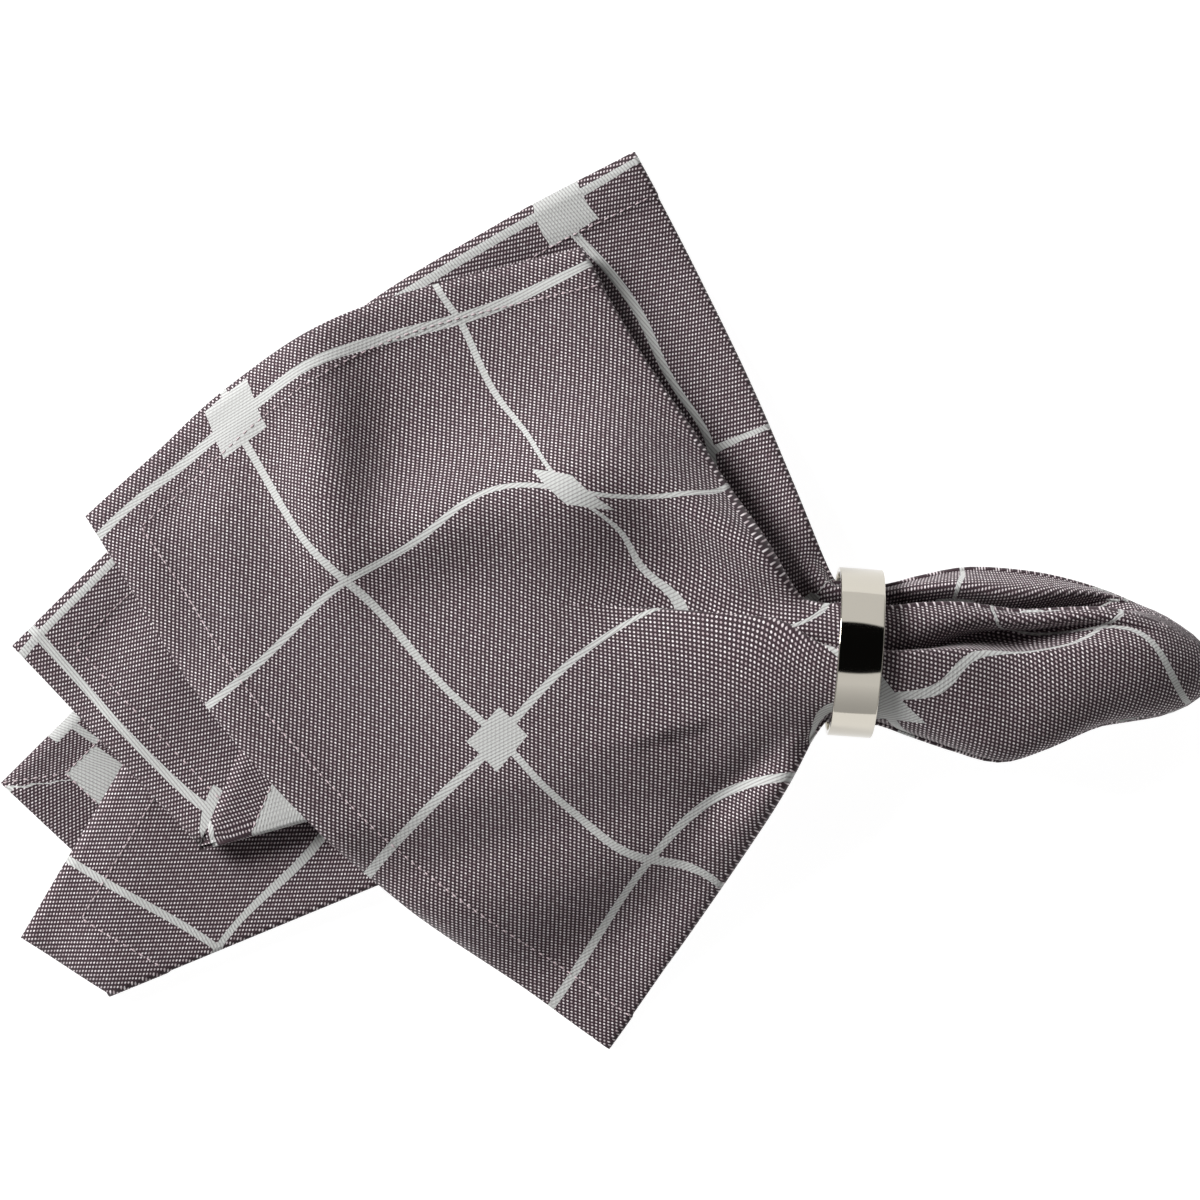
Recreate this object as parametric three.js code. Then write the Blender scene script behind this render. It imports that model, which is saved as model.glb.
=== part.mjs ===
import * as THREE from "three";

// Driving sizes in millimetres. The table top is Z = 0 and the ring's axis runs close to X.
const NAPKIN_SIDE = 450;
const SHEET_THICKNESS = 1.0;
const HEM_WIDTH = 12.5;
const HEM_EXTRA = 0.3;
const LAYER_RISE = 1.8;
const FOLD_HALF_GAP = 0.8;
const RING_OUTER_RADIUS = 20.6;
const RING_WALL = 1.2;
const RING_WIDTH = 10.7;
const RING_EDGE_ROUND = 0.3;
const RING_SEGMENTS = 72;
const RING_X = 62.1;
const RING_Y = -12.8;
const RING_YAW = THREE.MathUtils.degToRad(-4.2);
const CLOTH_COLOUR = "#6f6168";
const RING_COLOUR = "#c9c3b8";

// How finely the sheet is divided: along the hem, across each fold and over the fan of leaves.
const STATION_STEP = 21;
const FOLD_ANGLES = [45, 0, -45];
const FOLD_DOME_SPREAD = 4;
const FAN_STEPS = [0.03, 0.08, 0.14, 0.2, 0.26, 0.32, 0.39, 0.48, 0.58, 0.69, 0.8];

// Sections of the gathered cloth, from the tip's end to the ring's far edge. cloth is the distance
// from the middle of the square along the cloth.
const SECTION_COLUMNS = ["cloth", "x", "y", "halfWidth", "z", "halfHeight"];
const SECTIONS = [
  [0, 149.75, -17.5, 0, 12, 0],
  [6, 148.2, -17.5, 6, 12, 4.5],
  [13, 141.5, -16.8, 10.6, 12.5, 8],
  [21, 133, -15.6, 14, 13, 10.5],
  [30, 123, -14.6, 17.2, 13.8, 12.3],
  [42, 111, -15.5, 21.4, 14.8, 13.6],
  [54, 99.5, -16.2, 23.8, 16, 15],
  [66, 87, -14.4, 22.6, 17.6, 16.3],
  [76, 76, -13.6, 19.8, 19.4, 16.6],
  [84, 68, -13.2, 17.4, 20.4, 16.7],
  [90, 62.1, -12.8, 18, 20.6, 17.4],
  [96, 56.2, -12.4, 17.4, 20.6, 16.7],
];
const PLEATS_START = 16;
const TIP_CLOTH = 54;
const RING_CLOTH = 86;

// One row for each corner, fold and bend of the hem, in order round the napkin from corner A.
// turn: 1 or -1 for a fold that points to +Y or -Y, 0 for a corner or a bend.
// station: distance along the hem; hemX, hemY: where the hem lies there.
// level: place in the pile of the leaf that follows, 0 lowest.
// bow, swing: sideways curve of the line to the ring, all along it and near the ring.
// dome: angle round the tip's end; tip and ring: place in those sections, as parts of the half sizes.
const FOLD_COLUMNS = [
  "name", "corner", "turn", "station", "hemX", "hemY", "level", "bow", "swing",
  "dome", "tipAcross", "tipUp", "ringAcross", "ringUp",
];
const FOLDS = [
  ["A", true, 0, 0, -128, 20.75, 7, 0, 1, 62, 0.3, 0.5, 0.02, 0.86],
  ["pleat crest under", false, 0, 10, -123.25, 13.75, 7, 0, 2, 70, 0.27, 0.66, 0.05, 0.93],
  ["pleat crest", false, 0, 20, -118.5, 6.75, 7, 0, 2, 76, 0.22, 0.82, 0.02, 1],
  ["lower panel top", false, 0, 66.75, -96.75, -26.25, 7, 0, 3, 98, -0.16, 0.97, -0.27, 0.97],
  ["lower panel middle", false, 0, 126.5, -57.5, -67.5, 7, 0, 1, 125, -0.58, 0.79, -0.62, 0.79],
  ["lower panel side", false, 0, 186.25, -12.5, -101.25, 7, -1, 0, 145, -0.88, 0.38, -0.86, 0.5],
  ["lower edge", false, -1, 203.75, 1.25, -111.25, 4, -2, 0, 156, -0.95, 0.08, -0.92, 0.24],
  ["lower infold", false, 1, 342.5, -93, 2.25, 3, 0, 0, 168, 0.17, -0.33, 0.43, -0.08],
  ["D", true, 0, 450, -144.5, -84.25, 3, 0, 0, 176, -0.6, -0.3, -0.67, -0.2],
  ["D leaf edge", false, -1, 476, -122.5, -97.5, 2, 0, 0, 190, -0.88, -0.28, -0.9, -0.24],
  ["back infold", false, 1, 668, -51.25, 63.75, 1, 0, 0, 210, 0.34, -0.57, 0.48, -0.46],
  ["C leaf edge", false, -1, 839.75, -108.25, -84.75, 0, 0, 0, 232, -0.58, -0.73, -0.7, -0.62],
  ["C", true, 0, 900, -149.75, -45.75, 0, 0, 0, 252, -0.17, -0.95, -0.28, -0.95],
  ["C leaf bottom", false, 0, 1020, -71, 32.75, 0, 0, 0, 290, 0.42, -0.85, 0.45, -0.89],
  ["upper edge", false, 1, 1141.25, 7.5, 111.25, 5, 3, 0, 345, 0.96, -0.08, 0.92, -0.1],
  ["B leaf ridge", false, 0, 1180, -25, 94, 5, 2, 0, 352, 0.84, 0.44, 0.86, 0.2],
  ["B leaf lobe", false, 0, 1226, -62.5, 70, 5, 0, 0, 358, 0.62, 0.3, 0.62, 0.24],
  ["B leaf hem", false, 0, 1314.5, -123.75, 11.25, 5, 0, 0, 366, 0.3, 0.14, 0.1, 0.2],
  ["B", true, 0, 1350, -146.75, -11.5, 5, 0, 0, 370, 0.2, 0.08, -0.1, 0.24],
  ["flap edge", false, -1, 1404, -98.75, -60.75, 6, 0, 0, 382, 0, -0.02, -0.48, 0.4],
  ["flap hem", false, 0, 1430, -88.75, -37, 6, 0, 0, 387, 0.1, 0.12, -0.36, 0.47],
  ["flap inner hem", false, 0, 1444.5, -83.75, -25, 6, 0, 0, 390, 0.16, 0.2, -0.28, 0.49],
  ["flap leaf hem", false, 0, 1550, -80, 36, 6, 0, 0, 395, 0.4, 0.38, 0.2, 0.55],
  ["A leaf edge", false, 1, 1655, 0, 83.75, 7, -2, -4, 400, 0.63, 0.56, 0.62, 0.6],
  ["upper panel hem", false, 0, 1698, -41, 78, 7, -1, -3, 405, 0.56, 0.7, 0.45, 0.72],
  ["upper panel crown", false, 0, 1727, -67.5, 68.75, 7, 0, -3, 408, 0.47, 0.68, 0.3, 0.76],
  ["upper panel side", false, 0, 1755.5, -93.75, 51.75, 7, 0, -3, 411, 0.38, 0.5, 0.14, 0.74],
  ["pleat root", false, 0, 1780, -112.5, 34.75, 7, 0, -1, 414, 0.33, 0.33, 0, 0.71],
  ["pleat root over", false, 0, 1790, -120.25, 27.75, 7, 0, -1, 418, 0.32, 0.4, -0.03, 0.79],
];
const TOP_LEVEL = 7;
const ROUND_TRIP = 4 * NAPKIN_SIDE;
const FULL_TURN = 360;

// Soft ridges and, with a negative rise, troughs of each leaf between the ring and its hem.
// level: the leaf; x, y: middle; bearing: direction of its length from +X, in degrees.
const RELIEF_COLUMNS = ["name", "level", "x", "y", "bearing", "length", "breadth", "rise"];
const RELIEF = [
  ["ridge above the pleat", 7, 14, 27, 4, 34, 11, 6],
  ["valley of the pleat", 7, 14, 1, 0, 26, 6, -3],
  ["swelling inside the upper hem", 7, -66, 44, 62, 20, 11, 6],
  ["hollow beside the swelling", 7, -48, 38, 62, 20, 10, -3],
  ["crown along the upper fold", 7, -16, 56, 58, 30, 13, 4],
  ["crown of the lower panel", 7, -4, -22, -20, 40, 24, 4],
  ["trough along the lower fold", 7, 28, -54, 50, 22, 6, -4],
  ["lip of the lower fold", 7, 41, -47, 50, 20, 5, 3],
  ["wave of the lower hem", 7, -78, -48, -45, 22, 12, 2],
  ["roll along the upper fold", 7, 34, 17, -42, 26, 8, 5],
  ["valley beside the roll", 7, 27, 8, -36, 18, 5, -4],
  ["flap held off the leaf below", 6, -88, -56, 0, 20, 16, 3],
  ["flap's upper leaf", 5, -88, -56, 0, 20, 16, 3],
];

function named(columns, rows) {
  return rows.map((row) => Object.fromEntries(columns.map((column, index) => [column, row[index]])));
}

function smooth(from, to, value) {
  return THREE.MathUtils.smoothstep(value, from, to);
}

const sections = named(SECTION_COLUMNS, SECTIONS);
const relief = named(RELIEF_COLUMNS, RELIEF);

// The section at a distance along the cloth, between the two rows on either side.
function sectionAt(cloth) {
  const next = Math.max(1, sections.findIndex((row) => row.cloth >= cloth));
  const before = sections[next - 1];
  const after = sections[next];
  const part = (cloth - before.cloth) / (after.cloth - before.cloth);
  const section = {};
  for (const column of SECTION_COLUMNS) {
    section[column] = THREE.MathUtils.lerp(before[column], after[column], part);
  }
  return section;
}

// The fold rows with the first one repeated a full turn later.
function closedFolds() {
  const rows = named(FOLD_COLUMNS, FOLDS);
  const first = rows[0];
  rows.push({ ...first, station: first.station + ROUND_TRIP, dome: first.dome + FULL_TURN });
  return rows;
}

// A smooth change along the hem: a cubic through the rows that breaks at corners and folds.
function hemCurve(rows, index, part, column) {
  const sharp = (row) => row.corner || row.turn !== 0;
  const from = rows[index];
  const to = rows[index + 1];
  const span = to.station - from.station;
  const slope = (to[column] - from[column]) / span;
  let slopeIn = slope;
  let slopeOut = slope;
  if (!sharp(from)) {
    const before = rows[index - 1];
    slopeIn = (to[column] - before[column]) / (to.station - before.station);
  }
  if (!sharp(to)) {
    const after = rows[index + 2];
    slopeOut = (after[column] - from[column]) / (after.station - from.station);
  }
  const square = part * part;
  const cube = square * part;
  return (2 * cube - 3 * square + 1) * from[column] + (cube - 2 * square + part) * span * slopeIn
    + (3 * square - 2 * cube) * to[column] + (cube - square) * span * slopeOut;
}

const CURVED_COLUMNS = ["hemX", "hemY", "bow", "swing", "tipAcross", "tipUp", "ringAcross", "ringUp"];

// Every line that runs over the cloth from the middle of the square to the hem. A fold has a line
// for each of its two legs and a few round its bend.
function clothLines() {
  const rows = closedFolds();
  const lines = [];
  rows.slice(0, -1).forEach((row, index) => {
    const next = rows[index + 1];
    const legBefore = rows[(index + FOLDS.length - 1) % FOLDS.length].level;
    if (row.turn !== 0) {
      const falling = Math.sign(legBefore - row.level);
      lines.push({ ...row, level: legBefore, lift: falling, bendAngle: 90 * falling });
      for (const angle of FOLD_ANGLES) {
        lines.push({ ...row, level: null, lift: 0, bendAngle: angle * falling });
      }
      lines.push({ ...row, lift: -falling, bendAngle: -90 * falling });
    } else {
      lines.push({ ...row, lift: 0, bendAngle: null });
    }
    const steps = Math.max(1, Math.round((next.station - row.station) / STATION_STEP));
    for (let step = 1; step < steps; step += 1) {
      const part = step / steps;
      const line = { ...row, turn: 0, corner: false, lift: 0, bendAngle: null };
      line.station = THREE.MathUtils.lerp(row.station, next.station, part);
      for (const column of CURVED_COLUMNS) {
        line[column] = hemCurve(rows, index, part, column);
      }
      const domeFrom = row.dome + FOLD_DOME_SPREAD * Math.abs(row.turn);
      const domeTo = next.dome - FOLD_DOME_SPREAD * Math.abs(next.turn);
      line.dome = THREE.MathUtils.lerp(domeFrom, domeTo, part);
      lines.push(line);
    }
  });
  spreadFolds(lines);
  liftLeaves(lines);
  return lines;
}

// On the dome the lines of one fold lie side by side.
function spreadFolds(lines) {
  const perFold = FOLD_ANGLES.length + 1;
  const bends = lines.filter((line) => line.bendAngle !== null);
  bends.forEach((line, index) => {
    const order = index % (perFold + 1);
    line.dome += FOLD_DOME_SPREAD * (2 * order / perFold - 1);
  });
}

// Each leaf leaves its folds on their upper or lower leg, and changes evenly from one to the other.
function liftLeaves(lines) {
  const legs = lines.map((line, index) => index).filter((index) => lines[index].lift !== 0);
  legs.forEach((from, order) => {
    const to = legs[(order + 1) % legs.length];
    const span = (lines[to].station - lines[from].station + ROUND_TRIP) % ROUND_TRIP;
    for (let index = (from + 1) % lines.length; index !== to; index = (index + 1) % lines.length) {
      if (lines[index].bendAngle === null) {
        const part = ((lines[index].station - lines[from].station + ROUND_TRIP) % ROUND_TRIP) / span;
        lines[index].lift = THREE.MathUtils.lerp(lines[from].lift, lines[to].lift, part);
      }
    }
  });
}

// A point of the gathered cloth: a dome at the tip's end, pleats along the tip and in the ring.
function gatheredPoint(line, cloth) {
  const section = sectionAt(cloth);
  const dome = THREE.MathUtils.degToRad(line.dome);
  const pleated = smooth(PLEATS_START, TIP_CLOTH, cloth);
  const inRing = smooth(TIP_CLOTH, RING_CLOTH, cloth);
  const tipAcross = THREE.MathUtils.lerp(Math.cos(dome), line.tipAcross, pleated);
  const tipUp = THREE.MathUtils.lerp(Math.sin(dome), line.tipUp, pleated);
  let across = THREE.MathUtils.lerp(tipAcross, line.ringAcross, inRing) * section.halfWidth;
  let up = THREE.MathUtils.lerp(tipUp, line.ringUp, inRing) * section.halfHeight;
  if (line.bendAngle === null) {
    up += line.lift * FOLD_HALF_GAP * pleated;
  } else {
    const bend = THREE.MathUtils.degToRad(line.bendAngle);
    across += line.turn * Math.cos(bend) * FOLD_HALF_GAP * pleated;
    up += Math.sin(bend) * FOLD_HALF_GAP * pleated;
  }
  return new THREE.Vector3(
    section.x - across * Math.sin(RING_YAW),
    section.y + across * Math.cos(RING_YAW),
    section.z + up,
  );
}

// How far a line has come down from the ring, and how late it turns away from the ring's axis.
const FALL_BEND = 1.5;
const FALL_POWER = 2.2;
const SETTLE = 2;
const SETTLED_PART = 0.5;
const TURN_DELAY = 0.06;
const SWING_FULL = 0.09;
const SWING_END = 0.55;
const RELIEF_STARTS = 0.12;

// How high the soft ridges and troughs of a leaf stand at a point.
function reliefAt(level, point) {
  let rise = 0;
  for (const form of relief.filter((each) => each.level === level)) {
    const bearing = THREE.MathUtils.degToRad(form.bearing);
    const dx = point.x - form.x;
    const dy = point.y - form.y;
    const along = (dx * Math.cos(bearing) + dy * Math.sin(bearing)) / form.length;
    const aside = (dy * Math.cos(bearing) - dx * Math.sin(bearing)) / form.breadth;
    rise += form.rise * Math.exp(-along * along - aside * aside);
  }
  return rise;
}

// Where a line lies between the ring (part 0) and its hem (part 1), before the leaves are piled.
function fanPoint(line, part) {
  const ringEdge = sections[sections.length - 1].cloth;
  const start = gatheredPoint({ ...line, lift: 0, bendAngle: null }, ringEdge);
  const turned = part * (part / (part + TURN_DELAY)) * (1 + TURN_DELAY);
  const run = new THREE.Vector2(line.hemX - start.x, line.hemY - start.y);
  const sideways = new THREE.Vector2(run.y, -run.x).normalize();
  const swung = smooth(0, SWING_FULL, part) * (1 - smooth(SWING_FULL, SWING_END, part));
  const sway = line.bow * 4 * part * (1 - part) + line.swing * swung;
  const floor = SHEET_THICKNESS / 2;
  const come = (1 - part ** FALL_BEND) ** FALL_POWER;
  const fall = (start.z - floor) * come - SETTLE * smooth(0, SETTLED_PART, part);
  const point = new THREE.Vector3(
    start.x + run.x * part + sideways.x * sway,
    start.y + run.y * turned + sideways.y * sway,
    floor + Math.max(0, fall) + line.lift * FOLD_HALF_GAP,
  );
  point.z += reliefAt(line.level, point) * smooth(0, RELIEF_STARTS, part);
  return { point, sideways };
}

// The pile of leaves seen from above: the height reached so far over each small cell of the table.
const CELL = 3;
const PILE_NARROW = 1;
const PILE_REACH = 5;
const PILE_BLUR = 4;
const PILE_HALF_SPAN = 180;
const PILE_CELLS = Math.ceil(2 * PILE_HALF_SPAN / CELL);
const EMPTY_PILE = SHEET_THICKNESS / 2 - LAYER_RISE;
const pile = new Float64Array(PILE_CELLS * PILE_CELLS).fill(EMPTY_PILE);

function highest(heights) {
  return Math.max(...heights);
}

function mean(heights) {
  return heights.reduce((sum, height) => sum + height, 0) / heights.length;
}

// Each cell takes the highest or the mean of its neighbours, along one side of the table and then the other.
function spread(heights, reach, combine) {
  let result = heights;
  for (const stride of [1, PILE_CELLS]) {
    const before = result;
    result = before.map((height, index) => {
      const near = [];
      for (let step = -reach; step <= reach; step += 1) {
        near.push(before[index + step * stride] ?? EMPTY_PILE);
      }
      return combine(near);
    });
  }
  return result;
}

function heightAt(heights, point) {
  const across = (point.x + PILE_HALF_SPAN) / CELL - 0.5;
  const along = (point.y + PILE_HALF_SPAN) / CELL - 0.5;
  const cell = Math.floor(across);
  const row = Math.floor(along);
  const from = row * PILE_CELLS + cell;
  const beyond = from + PILE_CELLS;
  const near = THREE.MathUtils.lerp(heights[from], heights[from + 1], across - cell);
  const far = THREE.MathUtils.lerp(heights[beyond], heights[beyond + 1], across - cell);
  return THREE.MathUtils.lerp(near, far, along - row);
}

function addToPile(point) {
  const cell = Math.floor((point.x + PILE_HALF_SPAN) / CELL);
  const row = Math.floor((point.y + PILE_HALF_SPAN) / CELL);
  const index = row * PILE_CELLS + cell;
  pile[index] = Math.max(pile[index], point.z);
}

// Distance from the middle of the square to its hem along a line.
function lineLength(line) {
  const half = NAPKIN_SIDE / 2;
  const alongSide = line.station % NAPKIN_SIDE;
  return Math.hypot(half, alongSide - half);
}

// The steps of one line over the fan of leaves: the even ones, then the hem's stitching and its edge.
function fanSteps(line) {
  const ringEdge = sections[sections.length - 1].cloth;
  const length = lineLength(line);
  const stitching = length * (1 - 2 * HEM_WIDTH / NAPKIN_SIDE);
  const stitchPart = (stitching - ringEdge) / (length - ringEdge);
  return [...FAN_STEPS, stitchPart, 1];
}

// The middle surface of the sheet: for every line a row of points from the tip's end to the hem.
const PILE_STARTS = 0.05;
const PILE_FULL = 0.2;
const PILE_WIDE = 0.55;
const SPLITS = 8;

function layLevel(lines, level, fans) {
  const narrow = spread(pile, PILE_NARROW, highest);
  const wide = spread(spread(pile, PILE_REACH, highest), PILE_BLUR, mean);
  lines.forEach((line, index) => {
    if (line.level !== level) {
      return;
    }
    fans[index].points.forEach((point, step) => {
      const part = fans[index].steps[step];
      const widened = smooth(PILE_STARTS, PILE_WIDE, part);
      const below = THREE.MathUtils.lerp(heightAt(narrow, point), heightAt(wide, point), widened);
      const laid = Math.max(point.z, below + LAYER_RISE);
      point.z += (laid - point.z) * smooth(PILE_STARTS, PILE_FULL, part);
    });
  });
  const across = new THREE.Vector3();
  const beyond = new THREE.Vector3();
  lines.forEach((line, index) => {
    const after = (index + 1) % lines.length;
    if (line.level !== level || lines[after].level !== level) {
      return;
    }
    for (let step = 1; step + 1 < fans[index].points.length; step += 1) {
      for (let i = 0; i <= SPLITS; i += 1) {
        across.lerpVectors(fans[index].points[step], fans[after].points[step], i / SPLITS);
        beyond.lerpVectors(fans[index].points[step + 1], fans[after].points[step + 1], i / SPLITS);
        for (let j = 0; j <= SPLITS; j += 1) {
          addToPile(new THREE.Vector3().lerpVectors(across, beyond, j / SPLITS));
        }
      }
    }
  });
}

// The points round a fold's bend lie on a half ellipse between its two legs.
function bendFolds(lines, fans) {
  lines.forEach((line, index) => {
    if (line.level !== null) {
      return;
    }
    let first = index;
    let last = index;
    while (lines[first].level === null) {
      first -= 1;
    }
    while (lines[last].level === null) {
      last += 1;
    }
    const rising = lines[first].lift;
    const bend = THREE.MathUtils.degToRad(line.bendAngle);
    fans[index].points.forEach((point, step) => {
      const upper = (rising > 0 ? fans[first] : fans[last]).points[step].z;
      const lower = (rising > 0 ? fans[last] : fans[first]).points[step].z;
      const outward = line.turn * Math.cos(bend) * FOLD_HALF_GAP;
      point.x += fans[index].sideways.x * outward;
      point.y += fans[index].sideways.y * outward;
      point.z = (upper + lower) / 2 + (upper - lower) / 2 * Math.sin(bend);
    });
  });
}

function middleSurface(lines) {
  const fans = lines.map((line) => {
    const steps = fanSteps(line);
    const laid = steps.map((part) => fanPoint(line, part));
    return { steps, points: laid.map((each) => each.point), sideways: laid[0].sideways };
  });
  for (let level = 0; level <= TOP_LEVEL; level += 1) {
    layLevel(lines, level, fans);
  }
  bendFolds(lines, fans);
  return lines.map((line, index) => [
    ...sections.map((section) => gatheredPoint(line, section.cloth)),
    ...fans[index].points,
  ]);
}

// Unit normals of the middle surface on the face of the cloth.
function surfaceNormals(surface) {
  const count = surface.length;
  const last = surface[0].length - 1;
  const along = new THREE.Vector3();
  const outward = new THREE.Vector3();
  return surface.map((line, index) => line.map((point, step) => {
    if (step === 0) {
      return new THREE.Vector3(1, 0, 0);
    }
    const before = surface[(index + count - 1) % count][step];
    const after = surface[(index + 1) % count][step];
    along.subVectors(after, before);
    outward.subVectors(line[Math.min(step + 1, last)], line[step - 1]);
    return new THREE.Vector3().crossVectors(outward, along).normalize();
  }));
}

// The closed sheet: face and back on either side of the middle surface, joined round the hem.
function clothGeometry() {
  const surface = middleSurface(clothLines());
  const normals = surfaceNormals(surface);
  const count = surface.length;
  const last = surface[0].length - 1;
  const positions = [];
  const indices = [];
  const vertex = (side, index, step) => {
    const back = side * (1 + count * last);
    return step === 0 ? back : back + 1 + (index % count) * last + step - 1;
  };
  const put = (point, normal, away) => {
    const spot = point.clone().addScaledVector(normal, away);
    positions.push(spot.x, spot.y, Math.max(0, spot.z));
  };
  for (const side of [0, 1]) {
    const sign = side === 0 ? 1 : -1;
    put(surface[0][0], normals[0][0], sign * SHEET_THICKNESS / 2);
    for (let index = 0; index < count; index += 1) {
      for (let step = 1; step <= last; step += 1) {
        const hem = side === 1 && step >= last - 1 ? HEM_EXTRA : 0;
        put(surface[index][step], normals[index][step], sign * (SHEET_THICKNESS / 2 + hem));
      }
    }
  }
  const quad = (a, b, c, d) => indices.push(a, b, c, a, c, d);
  const strip = (side, from, to, step, beyond) => quad(
    vertex(side, from, step),
    vertex(side, from, beyond),
    vertex(side, to, beyond),
    vertex(side, to, step),
  );
  for (let index = 0; index < count; index += 1) {
    indices.push(vertex(0, 0, 0), vertex(0, index, 1), vertex(0, index + 1, 1));
    indices.push(vertex(1, 0, 0), vertex(1, index + 1, 1), vertex(1, index, 1));
    for (let step = 1; step < last; step += 1) {
      strip(0, index, index + 1, step, step + 1);
      strip(1, index + 1, index, step, step + 1);
    }
    quad(
      vertex(0, index, last),
      vertex(1, index, last),
      vertex(1, index + 1, last),
      vertex(0, index + 1, last),
    );
  }
  const geometry = new THREE.BufferGeometry();
  geometry.setAttribute("position", new THREE.Float32BufferAttribute(positions, 3));
  geometry.setIndex(indices);
  geometry.computeVertexNormals();
  return geometry;
}

// The ring's wall, turned about the ring's axis, with its four edges slightly rounded.
function ringGeometry() {
  const inner = RING_OUTER_RADIUS - RING_WALL;
  const half = RING_WIDTH / 2;
  const soft = RING_EDGE_ROUND;
  const outline = [
    [inner + soft, -half],
    [RING_OUTER_RADIUS - soft, -half],
    [RING_OUTER_RADIUS, -half + soft],
    [RING_OUTER_RADIUS, half - soft],
    [RING_OUTER_RADIUS - soft, half],
    [inner + soft, half],
    [inner, half - soft],
    [inner, -half + soft],
    [inner + soft, -half],
  ];
  const points = outline.map(([radius, along]) => new THREE.Vector2(radius, along));
  return new THREE.LatheGeometry(points, RING_SEGMENTS);
}

const cloth = new THREE.Mesh(
  clothGeometry(),
  new THREE.MeshStandardMaterial({ color: CLOTH_COLOUR, roughness: 0.9, metalness: 0 }),
);
cloth.name = "napkin_cloth";

const ring = new THREE.Mesh(
  ringGeometry(),
  new THREE.MeshStandardMaterial({ color: RING_COLOUR, roughness: 0.12, metalness: 1 }),
);
ring.name = "napkin_ring";
ring.position.set(RING_X, RING_Y, RING_OUTER_RADIUS);
ring.rotation.set(0, 0, RING_YAW - Math.PI / 2);

const napkin = new THREE.Group();
napkin.add(cloth, ring);

export default napkin;
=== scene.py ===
import math

import bmesh
import bpy
import numpy as np
from mathutils import Matrix, Vector


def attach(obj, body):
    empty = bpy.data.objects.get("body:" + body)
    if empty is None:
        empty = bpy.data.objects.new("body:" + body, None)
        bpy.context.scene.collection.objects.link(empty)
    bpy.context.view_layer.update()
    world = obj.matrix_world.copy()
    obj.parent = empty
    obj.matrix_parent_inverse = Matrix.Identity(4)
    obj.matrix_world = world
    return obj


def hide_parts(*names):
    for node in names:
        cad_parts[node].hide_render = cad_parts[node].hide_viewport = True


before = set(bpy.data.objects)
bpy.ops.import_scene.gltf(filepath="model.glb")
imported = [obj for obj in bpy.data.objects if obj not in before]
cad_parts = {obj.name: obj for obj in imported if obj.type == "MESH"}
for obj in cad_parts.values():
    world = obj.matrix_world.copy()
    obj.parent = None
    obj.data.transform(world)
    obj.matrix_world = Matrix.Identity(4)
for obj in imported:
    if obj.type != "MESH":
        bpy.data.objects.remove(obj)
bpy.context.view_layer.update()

# Napkin cloth
# One square of cotton satin in plum and white yarn with a woven windowpane check, hemmed all round.
# It is drawn through the ring near its middle: the hems fan out in a pile of folded leaves, and the
# middle stands out on the ring's other side as a loose tip. Sizes are in millimetres.
MM = 0.001
NAPKIN_SIDE = 450
CLOTH_THICKNESS = 0.7
HEM_THICKNESS = 1.0
HEM_WIDTH = 12.5
LAYER_RISE = 1.5
FOLD_HALF_GAP = 0.75
FOLD_ROUNDNESS = 0.4
RING_X = 62.1
RING_Y = -12.8
RING_OUTER_RADIUS = 20.6
RING_YAW = math.radians(-4.2)

# Sections of the gathered cloth, from the tip's end to the ring's far edge.
# cloth: distance from the tip's end along the cloth.
SECTION_COLUMNS = ["cloth", "x", "y", "half_width", "z", "half_height"]
SECTIONS = [
    [0, 149.75, -17.5, 0, 12, 0],
    [6, 148.2, -17.5, 6, 12, 5.4],
    [13, 141.5, -16.8, 10.6, 12.8, 9.8],
    [21, 133, -15.6, 14, 13.8, 12.8],
    [30, 123, -14.6, 17.2, 14.5, 14.4],
    [42, 111, -15.5, 21.4, 15.2, 15],
    [54, 99.5, -16.2, 23.8, 16, 15],
    [66, 87, -14.4, 22.6, 17.6, 16.3],
    [76, 76, -13.6, 19.8, 19.4, 16.6],
    [84, 68, -13.2, 17.4, 20.4, 16.7],
    [90, 62.1, -12.8, 18, 20.6, 17.4],
    [96, 56.2, -12.4, 17.4, 20.6, 16.7],
]
PLEATS_START = 16
TIP_CLOTH = 54
RING_CLOTH = 86

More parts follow.
